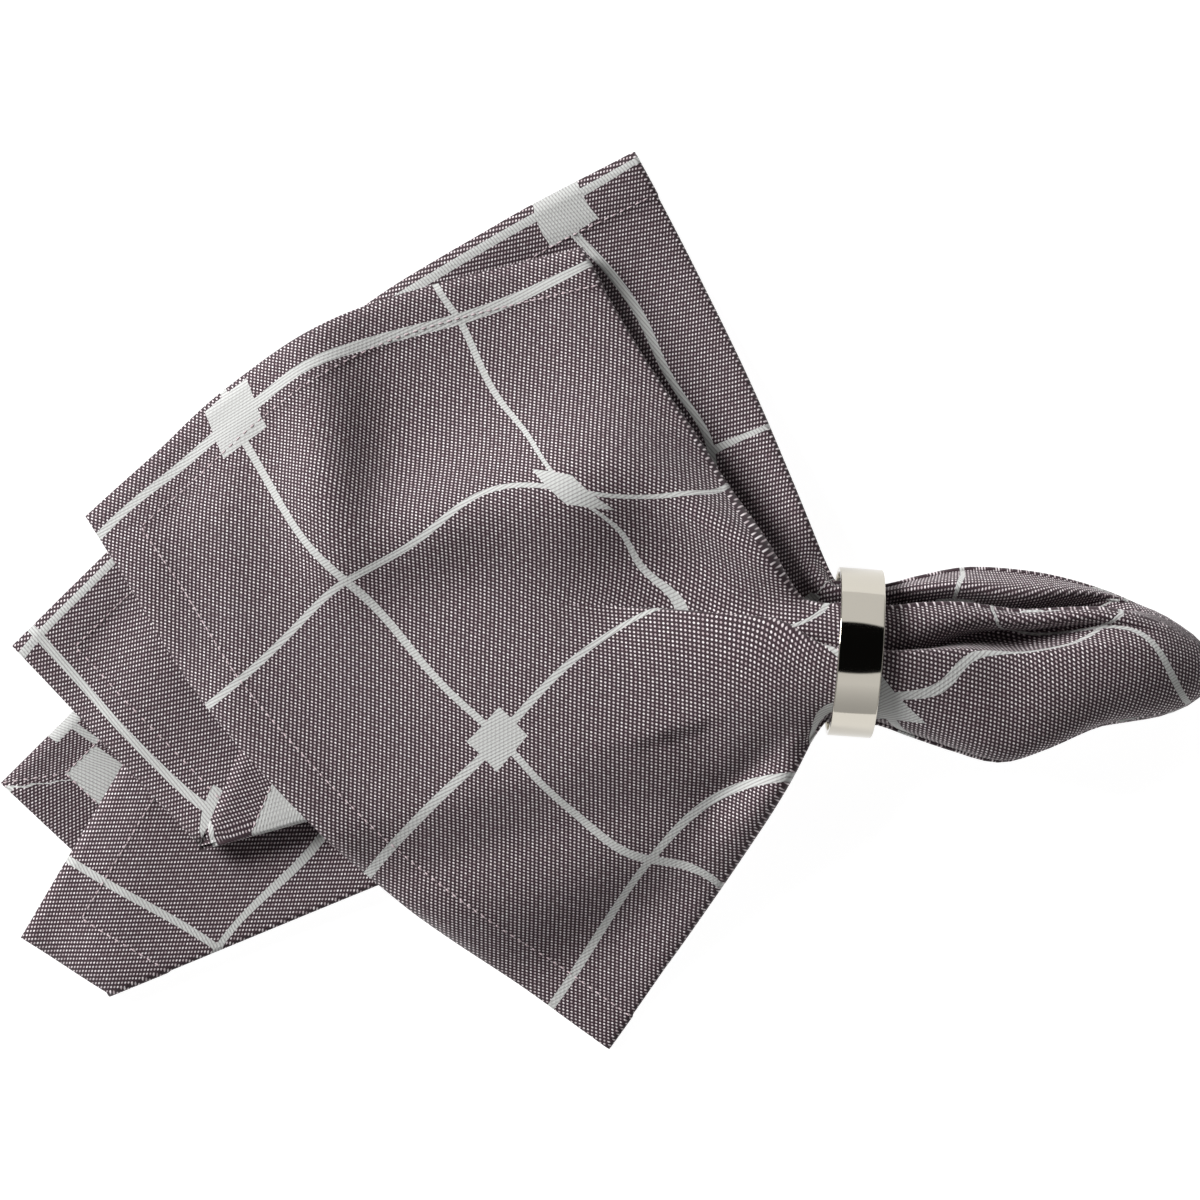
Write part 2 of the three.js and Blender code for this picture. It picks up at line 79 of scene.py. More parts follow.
# One row for each corner, fold and bend of the hem, in order round the napkin from corner A.
# turn: 1 or -1 for a fold that points to +Y or -Y, 0 for a corner or a bend.
# station: distance along the hem; x, y: where the hem lies there; level: place in the pile of the
# leaf that follows, 0 lowest; bow, swing: sideways curve of the line to the ring, all along it and
# near the ring; dome: angle round the tip's end; tip and ring: place in those sections, as parts of
# their sizes.
FOLD_COLUMNS = [
    "name", "corner", "turn", "station", "x", "y", "level", "bow", "swing",
    "dome", "tip_across", "tip_up", "ring_across", "ring_up",
]
FOLDS = [
    ["A", True, 0, 0, -128, 20.75, 7, 0, 2, 62, 0.2, 0.36, 0.02, 0.86],
    ["pleat crest under", False, 0, 10, -123.25, 13.75, 7, 0, 5.5, 70, 0.16, 0.62, 0.05, 0.93],
    ["pleat crest", False, 0, 20, -118.5, 6.75, 7, 0, 5.5, 76, 0.12, 0.86, 0.02, 1],
    ["lower panel top", False, 0, 66.75, -96.75, -26.25, 7, 0, 3, 98, -0.2, 0.98, -0.27, 0.97],
    ["lower panel middle", False, 0, 126.5, -57.5, -67.5, 7, 0, 1, 125, -0.62, 0.95, -0.62, 0.79],
    ["lower panel side", False, 0, 186.25, -12.5, -101.25, 7, -1, 0, 145, -0.93, 0.68, -0.86, 0.5],
    ["lower edge", False, -1, 203.75, 1.25, -111.25, 4, -2, 0, 156, -0.95, 0.08, -0.92, 0.24],
    ["lower infold", False, 1, 342.5, -93, 2.25, 3, 0, 0, 168, 0.17, -0.33, 0.43, -0.08],
    ["D", True, 0, 450, -144.5, -84.25, 3, 0, 0, 176, -0.6, -0.3, -0.67, -0.2],
    ["D leaf edge", False, -1, 476, -122.5, -97.5, 2, 0, 0, 190, -0.88, -0.28, -0.9, -0.24],
    ["back infold", False, 1, 668, -51.25, 63.75, 1, 0, 0, 210, 0.34, -0.57, 0.48, -0.46],
    ["C leaf edge", False, -1, 839.75, -108.25, -84.75, 0, 0, 0, 232, -0.58, -0.73, -0.7, -0.62],
    ["C", True, 0, 900, -149.75, -45.75, 0, 0, 0, 252, -0.17, -0.95, -0.28, -0.95],
    ["C leaf bottom", False, 0, 1020, -71, 32.75, 0, 0, 0, 290, 0.42, -0.85, 0.45, -0.89],
    ["upper edge", False, 1, 1141.25, 7.5, 111.25, 5, 3, 0, 345, 0.96, -0.08, 0.92, -0.1],
    ["B leaf ridge", False, 0, 1180, -25, 94, 5, 2, 0, 352, 0.76, 0.5, 0.86, 0.2],
    ["B leaf lobe", False, 0, 1226, -62.5, 70, 5, 0, 0, 358, 0.54, 0.1, 0.62, 0.1],
    ["B leaf hem", False, 0, 1314.5, -123.75, 11.25, 5, 0, 0, 366, 0.3, -0.08, 0.1, 0.1],
    ["B", True, 0, 1350, -146.75, -11.5, 5, 0, 0, 370, 0.2, -0.12, -0.1, 0.16],
    ["flap edge", False, -1, 1404, -98.75, -60.75, 6, 0, 0, 382, 0, -0.14, -0.48, 0.4],
    ["flap hem", False, 0, 1430, -88.75, -37, 6, 0, 0, 387, 0.1, -0.06, -0.36, 0.47],
    ["flap inner hem", False, 0, 1444.5, -83.75, -25, 6, 0, 0, 390, 0.16, -0.02, -0.28, 0.49],
    ["flap leaf hem", False, 0, 1550, -80, 36, 6, 0, 0, 395, 0.4, 0, 0.2, 0.55],
    ["A leaf edge", False, 1, 1655, -5.5, 86.5, 7, -3, -4, 400, 0.55, 0.56, 0.62, 0.6],
    ["upper panel hem", False, 0, 1698, -41, 78, 7, -1, -3, 405, 0.51, 0.7, 0.45, 0.72],
    ["upper panel crown", False, 0, 1727, -67.5, 68.75, 7, 0, -3, 408, 0.45, 0.7, 0.3, 0.76],
    ["upper panel side", False, 0, 1755.5, -93.75, 51.75, 7, 0, -3, 411, 0.4, 0.5, 0.14, 0.74],
    ["pleat root", False, 0, 1780, -112.5, 34.75, 7, 0, -4, 414, 0.37, 0.14, 0, 0.71],
    ["pleat root over", False, 0, 1790, -120.25, 27.75, 7, 0, -2.5, 418, 0.28, 0.16, -0.03, 0.79],
]
TOP_LEVEL = 7
LINE_SPACING = {7: 3.2, 6: 4.5, 5: 3.4, 4: 6, 3: 4, 2: 6, 1: 6, 0: 5}
BEND_ANGLES = [90, 67.5, 45, 22.5, 0, -22.5, -45, -67.5, -90]
BEND_WIDTH = 2.4
FOLD_DOME_SPREAD = 4
GATHER_STEPS = 30
FAN_STEPS = 54
HEM_ROWS = [13.4, 12.4, 8, 3.5, 0]
HEM_SWELL = 0.3

# Soft ridges and, with a negative rise, troughs of each leaf between the ring and its hem.
# level: the leaf; x, y: middle; bearing: direction of its length from +X, in degrees.
RELIEF_COLUMNS = ["name", "level", "x", "y", "bearing", "length", "breadth", "rise"]
RELIEF = [
    ["ridge above the pleat", 7, -6, 28, 8, 25, 19, 13],
    ["left end of the ridge", 7, -42, 18, 22, 20, 11, 6],
    ["valley of the pleat", 7, -10, 2, 0, 44, 7, -4],
    ["swelling inside the upper hem", 7, -67, 33, 97, 28, 10.5, 9],
    ["hollow beside the swelling", 7, -50, 34, 97, 22, 8, -6],
    ["crown of the lower panel", 7, -4, -24, -20, 46, 20, 5],
    ["trough along the lower fold", 7, 28, -54, 50, 22, 6, -4],
    ["lip of the lower fold", 7, 41, -47, 50, 20, 5, 3],
    ["wave of the lower hem", 7, -78, -48, -45, 22, 12, 2],
    ["roll along the upper fold", 7, 33, 15, -36, 24, 7, 9],
    ["valley beside the roll", 7, 27, 8, -36, 18, 5, -4],
    ["crown of the back leaf", 5, 12, 59, -58, 26, 9, 4],
    ["hollow of the back leaf", 5, 41, 17.5, -52, 18, 7, -6],
    ["flap held off the leaf below", 5, -88, -56, 0, 20, 16, 4],
]

# How a line comes down from the ring, turns away from the ring's axis and settles on the pile.
FALL_BEND = 1.5
FALL_POWER = 2.2
SETTLE = 2
SETTLED_PART = 0.5
TURN_DELAY = 0.06
SWING_FULL = 0.09
SWING_END = 0.55
RELIEF_STARTS = 0.12
# The map of the pile's height: its cells, how far round a step in the pile a leaf bridges it, and
# from which part of the way to the hem the leaf does so.
CELL = 2
PILE_HALF_SPAN = 170
PILE_NARROW = 1
PILE_REACH = 5
PILE_BLUR = 3
PILE_STARTS = 0.05
PILE_FULL = 0.2
PILE_WIDE = 0.55
PILE_SPLITS = 4
LAY_SOFTNESS = 1.2


def named(columns, rows):
    return [dict(zip(columns, row)) for row in rows]


def smooth(low, high, value):
    part = np.clip((np.asarray(value, float) - low) / (high - low), 0, 1)
    return part * part * (3 - 2 * part)


def mix(start, end, part):
    return start + (end - start) * part


def curve_through(places, values, sharp, at):
    """A cubic through the values, which breaks at the sharp ones."""
    index = np.clip(np.searchsorted(places, at, side="right") - 1, 0, len(places) - 2)
    chord = np.diff(values) / np.diff(places)
    inner = (values[2:] - values[:-2]) / (places[2:] - places[:-2])
    through = np.concatenate((chord[:1], inner, chord[-1:]))
    slope_in = np.where(sharp[index], chord[index], through[index])
    slope_out = np.where(sharp[index + 1], chord[index], through[index + 1])
    span = places[index + 1] - places[index]
    part = (at - places[index]) / span
    square, cube = part**2, part**3
    return (
        (2 * cube - 3 * square + 1) * values[index]
        + (cube - 2 * square + part) * span * slope_in
        + (3 * square - 2 * cube) * values[index + 1]
        + (cube - square) * span * slope_out
    )


ROUND_TRIP = 4 * NAPKIN_SIDE
FULL_TURN = 360
folds = named(FOLD_COLUMNS, FOLDS)
sections = named(SECTION_COLUMNS, SECTIONS)
relief = named(RELIEF_COLUMNS, RELIEF)

# Every line over the cloth from the tip's end to the hem: its place, its leaf and, round a fold,
# its bend.
lines = []
for index, fold in enumerate(folds):
    leaf_before = folds[index - 1]["level"]
    following = folds[(index + 1) % len(folds)]["station"] or ROUND_TRIP
    falling = math.copysign(1, leaf_before - fold["level"])
    if fold["turn"]:
        for order, angle in enumerate(BEND_ANGLES):
            spread = FOLD_DOME_SPREAD * (2 * order / (len(BEND_ANGLES) - 1) - 1)
            level = {90: leaf_before, -90: fold["level"]}.get(angle, -1)
            lift = falling * math.copysign(1, angle) if level >= 0 else 0
            wrap = BEND_WIDTH * (order / (len(BEND_ANGLES) - 1) - 0.5)
            bent = [fold["turn"], angle * falling, lift, spread, wrap]
            lines.append([fold["station"], level] + bent)
    else:
        lines.append([fold["station"], fold["level"], 0, math.nan, 0, 0, 0])
    steps = max(1, round((following - fold["station"]) / LINE_SPACING[fold["level"]]))
    for step in range(1, steps):
        station = mix(fold["station"], following, step / steps)
        lines.append([station, fold["level"], 0, math.nan, 0, 0, 0])
station, level, turn, bend, lift, dome_spread, bend_wrap = np.array(lines).T
level = level.astype(int)
is_bend = ~np.isnan(bend)
bend_radians = np.radians(np.nan_to_num(bend))


def along_hem(column, per_turn, breaks_at_corners):
    """A column of the folds at every line's station. It grows by per_turn round the napkin."""
    values = np.array([fold[column] for fold in folds], float)
    places = np.array([fold["station"] for fold in folds], float)
    sharp = [fold["turn"] != 0 or (fold["corner"] and breaks_at_corners) for fold in folds]
    places = np.concatenate(([places[-1] - ROUND_TRIP], places, places[:2] + ROUND_TRIP))
    values = np.concatenate(([values[-1] - per_turn], values, values[:2] + per_turn))
    sharp = np.array(sharp[-1:] + sharp + sharp[:2])
    return curve_through(places, values, sharp, station)


hem_x = along_hem("x", 0, True)
hem_y = along_hem("y", 0, True)
bow = along_hem("bow", 0, False)
swing = along_hem("swing", 0, False)
dome = np.radians(along_hem("dome", FULL_TURN, False) + dome_spread)
tip_across, tip_up, ring_across, ring_up = (
    along_hem(column, 0, False) for column in ("tip_across", "tip_up", "ring_across", "ring_up")
)

# Each leaf leaves its folds on their upper or lower leg, and changes evenly from one to the other.
legs = np.flatnonzero(lift)
leg_stations = np.concatenate((station[legs], station[legs[:1]] + ROUND_TRIP))
leg_lifts = np.concatenate((lift[legs], lift[legs[:1]]))
plain = np.flatnonzero(~is_bend)
wrapped = np.where(station[plain] < leg_stations[0], station[plain] + ROUND_TRIP, station[plain])
after = np.searchsorted(leg_stations, wrapped, side="left")
span = leg_stations[after] - leg_stations[after - 1]
between = (wrapped - leg_stations[after - 1]) / span
lift[plain] = mix(leg_lifts[after - 1], leg_lifts[after], between)


def gathered(cloth, folded):
    """Points of the gathered cloth: a dome at the tip's end, pleats in the tip and in the ring."""
    places = np.array([row["cloth"] for row in sections], float)
    inner = np.zeros(len(places), bool)
    section = {}
    for column in SECTION_COLUMNS[1:]:
        values = np.array([row[column] for row in sections], float)
        section[column] = curve_through(places, values, inner, cloth)
    pleated = smooth(PLEATS_START, TIP_CLOTH, cloth)
    in_ring = smooth(TIP_CLOTH, RING_CLOTH, cloth)
    across = mix(np.cos(dome)[:, None], tip_across[:, None], pleated)
    across = mix(across, ring_across[:, None], in_ring) * section["half_width"]
    up = mix(np.sin(dome)[:, None], tip_up[:, None], pleated)
    up = mix(up, ring_up[:, None], in_ring) * section["half_height"]
    if folded:
        gap = FOLD_HALF_GAP * pleated
        around = is_bend[:, None]
        across = across + np.where(around, (turn * np.cos(bend_radians))[:, None] * gap, 0)
        up = up + np.where(around, np.sin(bend_radians)[:, None], lift[:, None]) * gap
    x = section["x"] - across * math.sin(RING_YAW)
    y = section["y"] + across * math.cos(RING_YAW)
    return x, y, section["z"] + up


ring_edge = SECTIONS[-1][0]
half_side = NAPKIN_SIDE / 2
line_length = np.hypot(half_side, station % NAPKIN_SIDE - half_side)
hem_lengths = line_length[:, None] * (1 - np.array(HEM_ROWS) / half_side)
hem_parts = (hem_lengths - ring_edge) / (line_length[:, None] - ring_edge)
cloth_steps = np.linspace(0, ring_edge, GATHER_STEPS + 1)
inner_steps = np.arange(1, FAN_STEPS) / FAN_STEPS
part = np.concatenate((hem_parts[:, :1] * inner_steps, hem_parts), axis=1)

# The fan of leaves between the ring (part 0) and the hem (part 1), before the leaves are piled.
start_x, start_y, start_z = gathered(np.array([float(ring_edge)]), False)
run_x, run_y = hem_x[:, None] - start_x, hem_y[:, None] - start_y
run = np.hypot(run_x, run_y)
side_x, side_y = run_y / run, -run_x / run
turned = part * (part / (part + TURN_DELAY)) * (1 + TURN_DELAY)
sway = bow[:, None] * 4 * part * (1 - part)
sway += swing[:, None] * smooth(0, SWING_FULL, part) * (1 - smooth(SWING_FULL, SWING_END, part))
fan_x = start_x + run_x * part + side_x * sway
fan_y = start_y + run_y * turned + side_y * sway
floor_z = CLOTH_THICKNESS / 2
fall = (start_z - floor_z) * (1 - part**FALL_BEND) ** FALL_POWER
fall -= SETTLE * smooth(0, SETTLED_PART, part)
fan_z = floor_z + np.maximum(0, fall) + lift[:, None] * FOLD_HALF_GAP
# Troughs sink no lower than the pile below, and ridges stand on it.
raised = np.zeros(fan_z.shape)
for form in relief:
    bearing = math.radians(form["bearing"])
    along = (fan_x - form["x"]) * math.cos(bearing) + (fan_y - form["y"]) * math.sin(bearing)
    aside = (fan_y - form["y"]) * math.cos(bearing) - (fan_x - form["x"]) * math.sin(bearing)
    swell = np.exp(-((along / form["length"]) ** 2) - (aside / form["breadth"]) ** 2)
    on_leaf = (level == form["level"])[:, None]
    moved = np.where(on_leaf, form["rise"] * swell * smooth(0, RELIEF_STARTS, part), 0)
    if form["rise"] > 0:
        raised += moved
    else:
        fan_z += moved


def from_near_cells(heights, reach, choose):
    """Each cell's height taken, by np.max or np.mean, from the cells within reach of it."""
    for axis in (0, 1):
        near = [np.roll(heights, shift, axis) for shift in range(-reach, reach + 1)]
        heights = choose(near, axis=0)
    return heights


def height_at(heights, x, y):
    """Heights of the map at points between the middles of its cells."""
    column, row = (x + PILE_HALF_SPAN) / CELL - 0.5, (y + PILE_HALF_SPAN) / CELL - 0.5
    left, low = np.floor(column).astype(int), np.floor(row).astype(int)
    right_part, high_part = column - left, row - low
    lower = mix(heights[low, left], heights[low, left + 1], right_part)
    upper = mix(heights[low + 1, left], heights[low + 1, left + 1], right_part)
    return mix(lower, upper, high_part)


# The leaves are laid from the lowest up. The pile is the height reached so far over each cell of
# the table.
cells = math.ceil(2 * PILE_HALF_SPAN / CELL)
pile = np.full((cells, cells), floor_z - LAYER_RISE)
splits = np.linspace(0, 1, PILE_SPLITS + 1)
for leaf in range(TOP_LEVEL + 1):
    own = np.flatnonzero(level == leaf)
    close_by = from_near_cells(pile, PILE_NARROW, np.max)
    round_about = from_near_cells(from_near_cells(pile, PILE_REACH, np.max), PILE_BLUR, np.mean)
    narrow = height_at(close_by, fan_x[own], fan_y[own])
    wide = height_at(round_about, fan_x[own], fan_y[own])
    support = mix(narrow, wide, smooth(PILE_STARTS, PILE_WIDE, part[own])) + LAYER_RISE
    free = fan_z[own]
    laid = (free + support + np.sqrt((free - support) ** 2 + LAY_SOFTNESS**2)) / 2
    if leaf == 0:
        laid = np.maximum(free, support)
    fan_z[own] = mix(free, laid, smooth(PILE_STARTS, PILE_FULL, part[own])) + raised[own]
    for first in own:
        after = (first + 1) % len(level)
        if level[after] != leaf:
            continue
        leaf_points = np.stack((fan_x, fan_y, fan_z))
        low_side, high_side = leaf_points[:, first], leaf_points[:, after]
        across = mix(low_side[:, :, None], high_side[:, :, None], splits)
        ahead = mix(across[:, :-1, :, None], across[:, 1:, :, None], splits)
        column = ((ahead[0] + PILE_HALF_SPAN) / CELL).astype(int).ravel()
        row = ((ahead[1] + PILE_HALF_SPAN) / CELL).astype(int).ravel()
        np.maximum.at(pile, (row, column), ahead[2].ravel())

# Round a fold the cloth follows a half ellipse from its upper leg to its lower one.
for middle in np.flatnonzero(level < 0):
    first = middle
    while level[first] < 0:
        first -= 1
    last = middle
    while level[last] < 0:
        last += 1
    upper, lower = (first, last) if lift[first] > 0 else (last, first)
    half = (fan_z[upper] - fan_z[lower]) / 2
    bulge = np.maximum(FOLD_HALF_GAP, FOLD_ROUNDNESS * half)
    outward = turn[middle] * math.cos(bend_radians[middle]) * bulge
    fan_x[middle] += side_x[middle] * outward
    fan_y[middle] += side_y[middle] * outward
    fan_z[middle] = fan_z[lower] + half + half * math.sin(bend_radians[middle])

tip_x, tip_y, tip_z = gathered(cloth_steps, True)
surface = np.stack(
    (
        np.concatenate((tip_x, fan_x), axis=1),
        np.concatenate((tip_y, fan_y), axis=1),
        np.concatenate((tip_z, fan_z), axis=1),
    ),
    axis=-1,
)
line_count, step_count = surface.shape[:2]

# Where each point lies on the flat square, from corner A: u along A to D, v along A to B.
from_middle = np.concatenate(
    (np.broadcast_to(cloth_steps, tip_x.shape), mix(ring_edge, line_length[:, None], part)), axis=1
)
ratio = from_middle / line_length[:, None]
side = (station // NAPKIN_SIDE).astype(int)
along_side = station % NAPKIN_SIDE + bend_wrap
hem_u = np.choose(side, [along_side, NAPKIN_SIDE, NAPKIN_SIDE - along_side, 0])
hem_v = np.choose(side, [0, along_side, NAPKIN_SIDE, NAPKIN_SIDE - along_side])
flat_u = mix(half_side, hem_u[:, None], ratio)
flat_v = mix(half_side, hem_v[:, None], ratio)
hem_distance = (1 - ratio) * half_side

# The tip was pinched off the middle of the square, so the threads lie shifted there.
PINCH_SHIFT_U = -12
PINCH_SHIFT_V = -50
PINCH_WHOLE = 60
PINCH_GONE = 170
pinched = 1 - smooth(PINCH_WHOLE, PINCH_GONE, from_middle)
flat_u += PINCH_SHIFT_U * pinched
flat_v += PINCH_SHIFT_V * pinched

# The threads slide over the seen leaves until the check lies where it is seen from straight above.
# A slide reaches less far with each pass, and then the threads even out their spacing in rounds.
SIGHT_HEIGHT = 850
SLIDE_REACHES = [110, 60, 35, 20]
HEM_HOLD_LINES = 5
SLIDE_EASE = 0.03
HOLD_REACH = 14
CHECK_ROUNDS = 300
WEAVE_ROUNDS = 1500
RELAX_FROM_CLOTH = 8
STEADY_RATIO = 8
LEAST_EDGE = 1e-6
LEAST_LENGTH = 1e-9
LEAST_SCALE = 0.6
GREATEST_SCALE = 1.15
# first, last: the hem stations of the leaf's folds; fades: how far past them the slide goes on.
LEAF_COLUMNS = ["leaf", "first", "last", "fades"]
SEEN_LEAVES = [
    ["A", 1655, 2003.75, 130],
    ["B", 1141.25, 1404, 110],
    ["D", 342.5, 476, 80],
]
# Places of the check, by leaf and stretch of its hem: x, y as seen, then u, v on the flat square.
PLACES = {
    ("A", 1655, 1785): [
        [-92.25, 45.25, 7, 44.5], [-36.25, 71.25, 7, 102], [-12.5, 27.75, 66.75, 96],
        [-3.5, 26.5, 66.75, 108], [-11.75, 32, 60.5, 102], [-2.75, 23.25, 73, 102],
        [8.75, 11, 90, 102], [13.75, 4.75, 98.5, 102], [31.25, 28.75, 66.75, 142],
        [20, -1.25, 107, 102],
    ],
    ("A", 1655, 1850): [
        [-65, 5, 66.75, 44.5],
    ],
    ("A", 1820, 2003.75): [
        [-25.75, -33.75, 126.5, 44.5], [12.5, -64.25, 186.25, 44.5], [30, -72, 205.5, 44.5],
        [36, -46.75, 186.25, 67], [54, -35, 186.25, 85], [58.25, -26.5, 186.25, 93],
        [56.5, -20.5, 179, 93], [10, -2.75, 126.5, 95], [59.75, -13.25, 171, 102],
        [68, -24.25, 186.25, 102], [89.25, -17, 186.25, 124], [75.75, -33.25, 198, 102],
    ],
    ("A", 1790, 2003.75): [
        [115.5, -11.75, 186.25, 150], [124.5, -4.25, 186.25, 159.5], [112.5, -2.5, 174, 159.5],
        [131.75, -7.5, 194.25, 159.5], [138.5, -12.5, 202.5, 159.5], [144.5, -23, 215, 159.5],
    ],
    ("B", 1141.25, 1300): [
        [-10, 97.5, 186.25, 447], [-5.75, 91.5, 186.25, 441], [1, 81.5, 186.25, 431.5],
        [8.75, 71, 186.25, 421.5], [13.75, 62.5, 186.25, 413.5], [18.5, 54, 186.25, 405.5],
        [23.5, 45, 186.25, 397.5], [28.5, 36.25, 186.25, 389.5], [43.75, 43, 203, 389.5],
        [38.5, 51.5, 203, 399.5], [33, 61, 203, 410], [37, 17, 189, 367], [54, 9, 203, 357],
        [50, 4, 194, 353], [71, 2, 203, 268], [85.5, 3.75, 200, 222], [95.5, 3.75, 200, 212],
    ],
    ("B", 1300, 1404): [
        [-139.25, -8.5, 7, 447],
    ],
    ("D", 342.5, 476): [
        [-94.5, -87.5, 425.25, 44.5], [-67.5, -57.5, 385, 44.5],
    ],
}
seen_scale = SIGHT_HEIGHT / (SIGHT_HEIGHT - surface[..., 2])
seen_x, seen_y = surface[..., 0] * seen_scale, surface[..., 1] * seen_scale
relax_from = np.searchsorted(cloth_steps, RELAX_FROM_CLOTH)


def unit(vectors):
    length = np.linalg.norm(vectors, axis=-1, keepdims=True)
    return vectors / np.maximum(length, LEAST_LENGTH)


def turned_by(cosine, sine, edge):
    x, y = edge[..., 0], edge[..., 1]
    return np.stack((cosine * x - sine * y, sine * x + cosine * y), -1)


# The grid points at the low and the high end of every edge along each of the two axes.
EDGE_ENDS = [(np.s_[:-1], np.s_[1:]), (np.s_[:, :-1], np.s_[:, 1:])]


def at_both_ends(axis, first, last, shape):
    """Sums onto the grid the values of the edges along an axis, at their first and last ends."""
    total = np.zeros(shape)
    low, high = EDGE_ENDS[axis]
    total[low] += first
    total[high] += last
    return total


def kept_spacing(points, flat, held, least_scale, greatest_scale, rounds):
    """Lets the threads of one leaf slide until they are evenly spaced over its surface."""
    e1 = unit(np.gradient(points, axis=1))
    e2 = unit(np.cross(np.cross(e1, np.gradient(points, axis=0)), e1))
    hem_flat = flat[:, -1].copy()
    reach = [np.exp(-(((flat - flat[spot]) ** 2).sum(-1)) / HOLD_REACH**2) for spot, _ in held]
    edges = []
    for axis in (0, 1):
        edge = np.diff(points, axis=axis)
        low, high = EDGE_ENDS[axis]
        at_low = np.stack([(edge * e[low]).sum(-1) for e in (e1, e2)], -1)
        at_high = np.stack([(edge * e[high]).sum(-1) for e in (e1, e2)], -1)
        edges.append((at_low, at_high, np.linalg.norm(edge, axis=-1)))
    typical = [np.median(length) for _, _, length in edges]
    shape = points.shape[:2]
    square_sum = np.zeros(shape)
    for axis, (_, _, length) in enumerate(edges):
        square_sum += at_both_ends(axis, length**2, length**2, shape)
    for _ in range(rounds):
        cosine, sine = np.zeros(shape), np.zeros(shape)
        for axis, (at_low, at_high, _) in enumerate(edges):
            step = np.diff(flat, axis=axis)
            ends = (at_low, at_high)
            dots = [(end * step).sum(-1) for end in ends]
            crosses = [end[..., 0] * step[..., 1] - end[..., 1] * step[..., 0] for end in ends]
            cosine += at_both_ends(axis, *dots, shape)
            sine += at_both_ends(axis, *crosses, shape)
        size = np.maximum(np.hypot(cosine, sine), LEAST_LENGTH)
        scale = np.clip(size / square_sum, least_scale, greatest_scale)
        cosine, sine = scale * cosine / size, scale * sine / size
        total, weight_sum = np.zeros(flat.shape), np.zeros(shape)
        for axis, (at_low, at_high, length) in enumerate(edges):
            weight = typical[axis] / np.maximum(length, LEAST_EDGE)
            weight = np.clip(weight, 1 / STEADY_RATIO, STEADY_RATIO) / typical[axis] ** 2
            low, high = EDGE_ENDS[axis]
            wanted = turned_by(cosine[low], sine[low], at_low)
            wanted = (wanted + turned_by(cosine[high], sine[high], at_high)) / 2
            total[low] += weight[..., None] * (flat[high] - wanted)
            total[high] += weight[..., None] * (flat[low] + wanted)
            weight_sum[low] += weight
            weight_sum[high] += weight
        flat = total / weight_sum[..., None]
        if held:
            pull = sum(
                near[..., None] * (target - flat[spot]) for (spot, target), near in zip(held, reach)
            )
            flat = flat + pull / np.maximum(1, sum(reach))[..., None]
            flat[:, -1] = hem_flat
    return flat


base = np.stack((flat_u, flat_v), -1)
check_slide, weave_slide = np.zeros(base.shape), np.zeros(base.shape)
for leaf in named(LEAF_COLUMNS, SEEN_LEAVES):
    place = np.where(station < leaf["first"] - leaf["fades"], station + ROUND_TRIP, station)
    order = np.argsort(place, kind="stable")
    in_order = place[order]
    own = order[(in_order >= leaf["first"]) & (in_order <= leaf["last"]) & (level[order] >= 0)]
    own = own[level[own] == level[own[len(own) // 2]]]
    not_own = ~np.isin(np.arange(line_count), own)
    own_x, own_y = seen_x[own][:, relax_from:], seen_y[own][:, relax_from:]
    flat = base[own][:, relax_from:]
    points = surface[own][:, relax_from:]
    held = []
    for (owner, first, last), rows in PLACES.items():
        if owner != leaf["leaf"]:
            continue
        allowed = (place[own] >= first) & (place[own] <= last)
        for x, y, u, v in rows:
            away = np.where(allowed[:, None], np.hypot(own_x - x, own_y - y), np.inf)
            spot = np.unravel_index(np.argmin(away), away.shape)
            held.append((spot, np.array([u, v], float)))
    unmoved = flat
    steady = held + [((line, -1), unmoved[line, -1]) for line in range(0, len(own), HEM_HOLD_LINES)]
    for reach in SLIDE_REACHES:
        near = [np.exp(-((unmoved - unmoved[spot]) ** 2).sum(-1) / reach**2) for spot, _ in steady]
        moved = sum(
            share[..., None] * (target - flat[spot]) for share, (spot, target) in zip(near, steady)
        )
        flat = flat + moved / (sum(near) + SLIDE_EASE)[..., None]
    flat[:, -1] = unmoved[:, -1]
    checked = kept_spacing(points, flat, held, LEAST_SCALE, GREATEST_SCALE, CHECK_ROUNDS)
    plan = points[..., :2] - points[..., :2].mean((0, 1))
    spread_out = checked - checked.mean((0, 1))
    cosine = (plan * spread_out).sum()
    sine = (plan[..., 0] * spread_out[..., 1] - plan[..., 1] * spread_out[..., 0]).sum()
    size = math.hypot(cosine, sine)
    plan = turned_by(cosine / size, sine / size, plan) + checked.mean((0, 1))
    woven = kept_spacing(points, plan, [], 1, 1, WEAVE_ROUNDS)
    for slide, flat in ((check_slide, checked), (weave_slide, woven)):
        own_slide = flat - unmoved
        tip_end = np.repeat(own_slide[:, :1], relax_from, axis=1)
        own_slide = np.concatenate((tip_end, own_slide), axis=1)
        slide[own] = own_slide
        for edge, distance in ((0, leaf["first"] - place), (-1, place - leaf["last"])):
            outside = (distance >= 0) & (distance <= leaf["fades"]) & not_own
            fade = 1 - smooth(0, leaf["fades"], distance[outside])
            slide[outside] += own_slide[edge] * fade[:, None, None]
check = base + check_slide
weave = base + weave_slide

# The hem is turned over onto the back, where the check runs on past the edge and returns mirrored.
turned_check = check.copy()
for number, axis, edge in ((0, 1, 0), (1, 0, NAPKIN_SIDE), (2, 1, NAPKIN_SIDE), (3, 0, 0)):
    turned_check[side == number, :, axis] = 2 * edge - check[side == number, :, axis]

# The face of the cloth lies half a thickness above its middle; Solidify adds the back and the
# thicker hem.
ahead = np.roll(surface, -1, axis=0) - np.roll(surface, 1, axis=0)
outward = np.gradient(surface, axis=1)
normals = np.cross(outward, ahead)
normals[:, 0] = [1, 0, 0]
normals = unit(normals)
first_hem_step = step_count - len(HEM_ROWS)
rise = np.where(np.arange(step_count) > first_hem_step, HEM_SWELL, 0) + CLOTH_THICKNESS / 2
face = surface + normals * rise[:, None]

